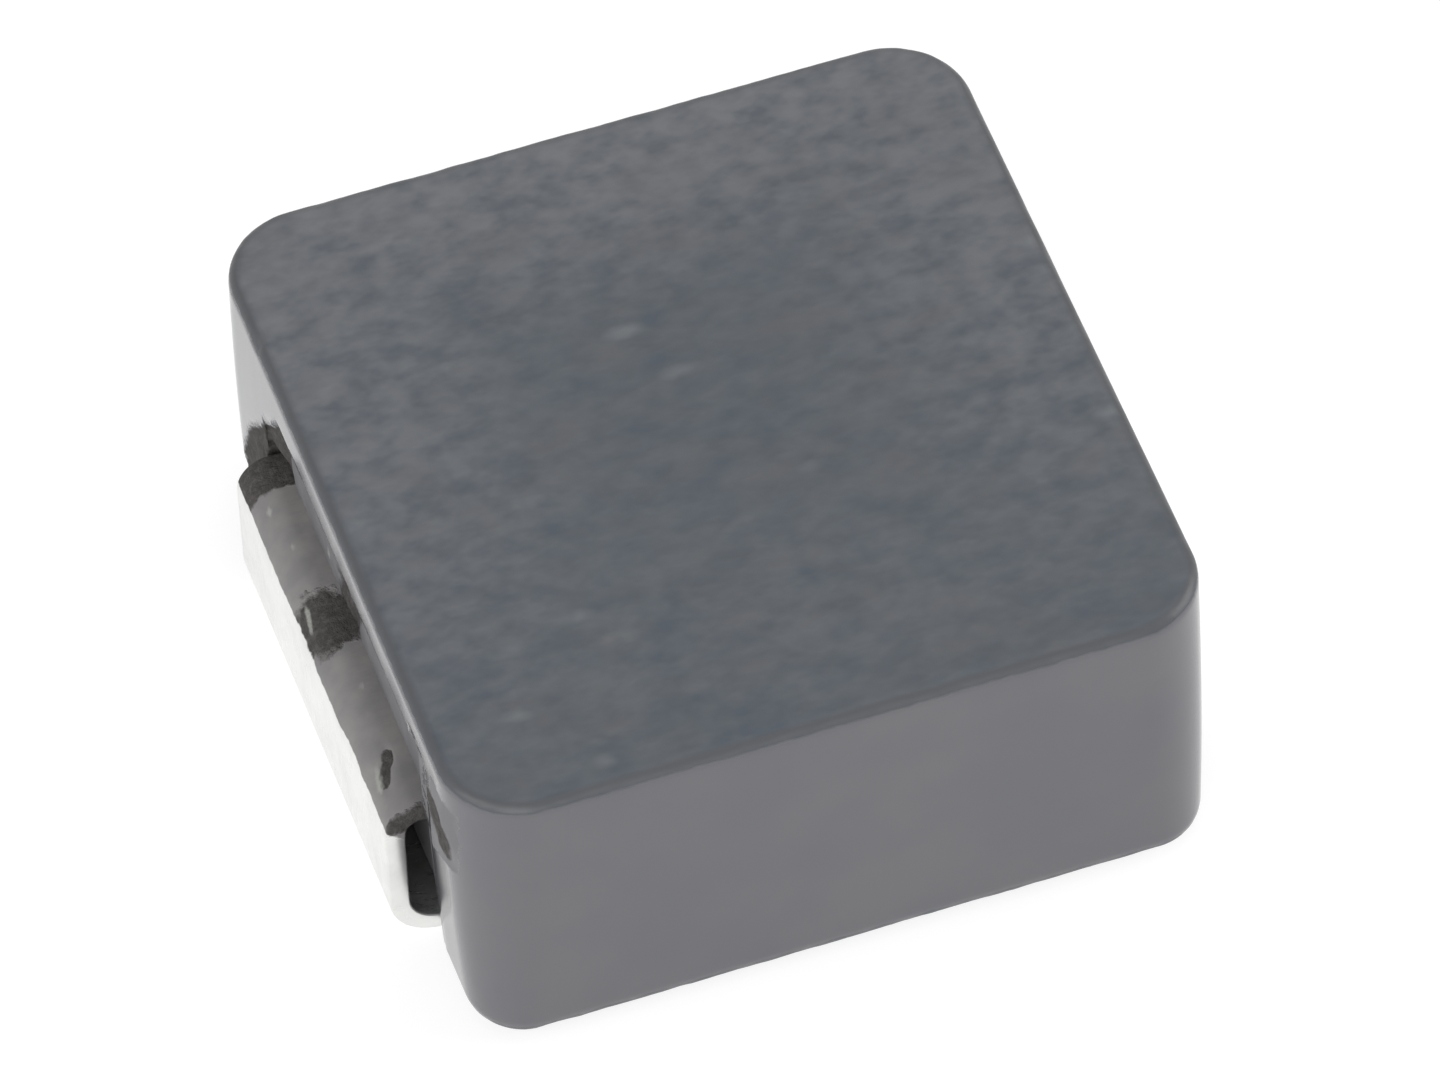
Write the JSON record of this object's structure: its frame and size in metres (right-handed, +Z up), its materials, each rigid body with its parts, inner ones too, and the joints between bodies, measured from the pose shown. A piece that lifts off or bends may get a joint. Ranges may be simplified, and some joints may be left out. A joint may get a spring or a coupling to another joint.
{
  "type": "shielded smd inductor",
  "caption": "Grey pressed-powder power inductor, a low square block with a folded tinned terminal strip on two opposite sides for surface mounting.",
  "frame": {"origin": "centre of the footprint, on the plane of the solder pads' undersides", "axes": "+X from the left terminal to the right one, +Y along the terminals, +Z up out of the top face"},
  "size_m": [0.007, 0.0068, 0.003],
  "materials": {
    "grey_coat": "matt epoxy coat on pressed iron powder",
    "copper_wire": "enamelled flat copper wire",
    "tinned_strip": "bright matt tin on copper"
  },
  "bodies": {
    "root": {"moulded_body": "grey_coat", "winding": "copper_wire", "left_terminal": "tinned_strip", "right_terminal": "tinned_strip"}
  },
  "joints": []
}
